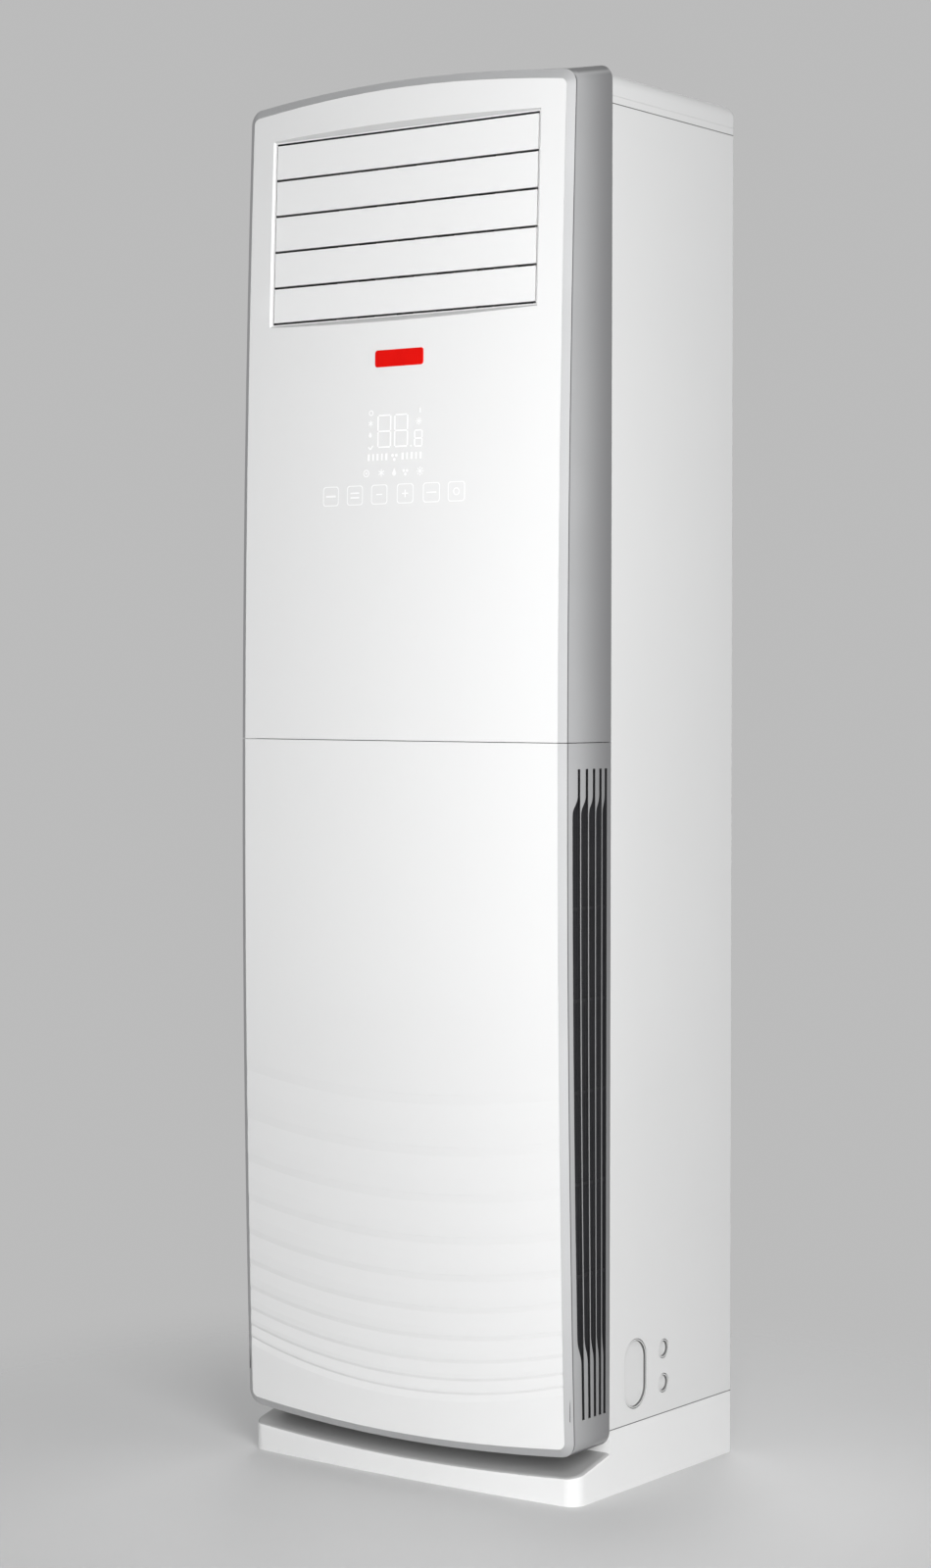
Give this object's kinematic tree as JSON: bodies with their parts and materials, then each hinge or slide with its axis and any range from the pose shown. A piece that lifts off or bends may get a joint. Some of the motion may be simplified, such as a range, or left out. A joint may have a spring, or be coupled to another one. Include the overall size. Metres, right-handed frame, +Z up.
{
  "type": "floor standing air conditioner",
  "caption": "Tall floor standing air conditioner indoor unit with a bowed white front in two halves, silver side bands with intake slots, louvred outlet and bowed foot.",
  "frame": {"origin": "middle of the outline at floor level", "axes": "+Z up, -Y the bowed front with the louvres, +X to the right seen from the front"},
  "size_m": [0.54, 0.4178, 1.8609],
  "materials": {
    "white_panel": "glossy white",
    "silver_trim": "silver satin paint",
    "cabinet_paint": "white powder coat",
    "base_plastic": "white satin",
    "louvre_white": "glossy white",
    "vane_grey": "grey",
    "duct_white": "white",
    "bush_white": "natural white",
    "plug_grey": "light grey",
    "filter_dark": "black",
    "galvanised": "galvanised",
    "shaft_steel": "ground steel",
    "fan_grey": "dark grey",
    "motor_black": "black",
    "fins": "plain fins",
    "copper": "copper",
    "brass": "machined",
    "pan_white": "light grey",
    "board_green": "circuit board",
    "terminal_black": "black"
  },
  "bodies": {
    "cabinet": {"upper_front_panel": "white_panel", "upper_trim_frame": "silver_trim", "left_side_panel": "cabinet_paint", "right_side_panel": "cabinet_paint", "rear_panel": "cabinet_paint", "top_cover": "cabinet_paint", "base": "base_plastic", "outlet_duct": "duct_white", "air_guide": "duct_white", "louvre_bushes": "bush_white", "catch_sockets": "bush_white", "left_pipe_cover": "plug_grey", "right_pipe_cover": "plug_grey", "hole_plugs": "plug_grey", "front_frame": "galvanised", "fan_partition": "galvanised", "divider_shelf": "galvanised", "motor_bracket": "galvanised", "control_box": "galvanised", "control_box_cover": "galvanised", "coil_end_plates": "galvanised", "cabinet_screws": "galvanised", "scroll_housing": "fan_grey", "inlet_ring": "fan_grey", "fan_motor": "motor_black", "louvre_motor": "motor_black", "vane_motor": "motor_black", "evaporator_coil": "fins", "return_bends": "copper", "gas_pipe": "copper", "liquid_pipe": "copper", "flare_nuts": "brass", "drain_pan": "pan_white", "drain_hose": "pan_white", "display_board": "board_green", "touch_board": "board_green", "control_board": "board_green", "terminal_block": "terminal_black"},
    "lower_cover": {"lower_front_panel": "white_panel", "lower_trim_frame": "silver_trim", "left_filter": "filter_dark", "right_filter": "filter_dark", "cover_catches": "bush_white"},
    "fan": {"fan_wheel": "fan_grey", "motor_shaft": "shaft_steel", "fan_nut": "galvanised"},
    "louvre_1": {"louvre_1": "louvre_white"},
    "louvre_2": {"louvre_2": "louvre_white"},
    "louvre_3": {"louvre_3": "louvre_white"},
    "louvre_4": {"louvre_4": "louvre_white"},
    "louvre_5": {"louvre_5": "louvre_white"},
    "louvre_link": {"louvre_link": "vane_grey"},
    "vane_1": {"vane_1": "vane_grey"},
    "vane_2": {"vane_2": "vane_grey"},
    "vane_3": {"vane_3": "vane_grey"},
    "vane_4": {"vane_4": "vane_grey"},
    "vane_5": {"vane_5": "vane_grey"},
    "vane_6": {"vane_6": "vane_grey"},
    "vane_link": {"vane_link": "vane_grey"}
  },
  "joints": [
    {"name": "lower_cover_pull", "type": "slide", "parent": "cabinet", "child": "lower_cover", "axis": [0, -1, 0], "range_m": [0, 0.12]},
    {"name": "louvre_1_turn", "type": "hinge", "parent": "cabinet", "child": "louvre_1", "pos_m": [0, -0.17762, 1.76389], "axis": [-1, 0, 0], "range_deg": [0, 85]},
    {"name": "louvre_2_turn", "type": "hinge", "parent": "cabinet", "child": "louvre_2", "pos_m": [0, -0.17922, 1.71481], "axis": [-1, 0, 0], "range_deg": [0, 85]},
    {"name": "louvre_3_turn", "type": "hinge", "parent": "cabinet", "child": "louvre_3", "pos_m": [0, -0.18082, 1.66574], "axis": [-1, 0, 0], "range_deg": [0, 85]},
    {"name": "louvre_4_turn", "type": "hinge", "parent": "cabinet", "child": "louvre_4", "pos_m": [0, -0.18243, 1.61666], "axis": [-1, 0, 0], "range_deg": [0, 85]},
    {"name": "louvre_5_turn", "type": "hinge", "parent": "cabinet", "child": "louvre_5", "pos_m": [0, -0.18403, 1.56759], "axis": [-1, 0, 0], "range_deg": [0, 85]},
    {"name": "louvre_link_turn", "type": "hinge", "parent": "louvre_1", "child": "louvre_link", "pos_m": [0.2288, -0.16851, 1.7717], "axis": [-1, 0, 0], "range_deg": [-85, 0]},
    {"name": "vane_1_turn", "type": "hinge", "parent": "cabinet", "child": "vane_1", "pos_m": [-0.165, -0.13585, 1.66427], "axis": [0, 0.0327, 0.9995], "range_deg": [-35, 35]},
    {"name": "vane_2_turn", "type": "hinge", "parent": "cabinet", "child": "vane_2", "pos_m": [-0.099, -0.13585, 1.66427], "axis": [0, 0.0327, 0.9995], "range_deg": [-35, 35]},
    {"name": "vane_3_turn", "type": "hinge", "parent": "cabinet", "child": "vane_3", "pos_m": [-0.033, -0.13585, 1.66427], "axis": [0, 0.0327, 0.9995], "range_deg": [-35, 35]},
    {"name": "vane_4_turn", "type": "hinge", "parent": "cabinet", "child": "vane_4", "pos_m": [0.033, -0.13585, 1.66427], "axis": [0, 0.0327, 0.9995], "range_deg": [-35, 35]},
    {"name": "vane_5_turn", "type": "hinge", "parent": "cabinet", "child": "vane_5", "pos_m": [0.099, -0.13585, 1.66427], "axis": [0, 0.0327, 0.9995], "range_deg": [-35, 35]},
    {"name": "vane_6_turn", "type": "hinge", "parent": "cabinet", "child": "vane_6", "pos_m": [0.165, -0.13585, 1.66427], "axis": [0, 0.0327, 0.9995], "range_deg": [-35, 35]},
    {"name": "vane_link_turn", "type": "hinge", "parent": "vane_1", "child": "vane_link", "pos_m": [-0.165, -0.12822, 1.53035], "axis": [0, 0.0327, 0.9995], "range_deg": [-35, 35]},
    {"name": "fan_spin", "type": "hinge", "parent": "cabinet", "child": "fan", "pos_m": [0.024, 0.00195, 0.43], "axis": [0, 1, 0], "continuous": true}
  ],
  "couplings": [
    {"joint": "louvre_2_turn", "follows": "louvre_1_turn", "ratio": 1},
    {"joint": "louvre_3_turn", "follows": "louvre_1_turn", "ratio": 1},
    {"joint": "louvre_4_turn", "follows": "louvre_1_turn", "ratio": 1},
    {"joint": "louvre_5_turn", "follows": "louvre_1_turn", "ratio": 1},
    {"joint": "louvre_link_turn", "follows": "louvre_1_turn", "ratio": -1},
    {"joint": "vane_2_turn", "follows": "vane_1_turn", "ratio": 1},
    {"joint": "vane_3_turn", "follows": "vane_1_turn", "ratio": 1},
    {"joint": "vane_4_turn", "follows": "vane_1_turn", "ratio": 1},
    {"joint": "vane_5_turn", "follows": "vane_1_turn", "ratio": 1},
    {"joint": "vane_6_turn", "follows": "vane_1_turn", "ratio": 1},
    {"joint": "vane_link_turn", "follows": "vane_1_turn", "ratio": -1}
  ]
}
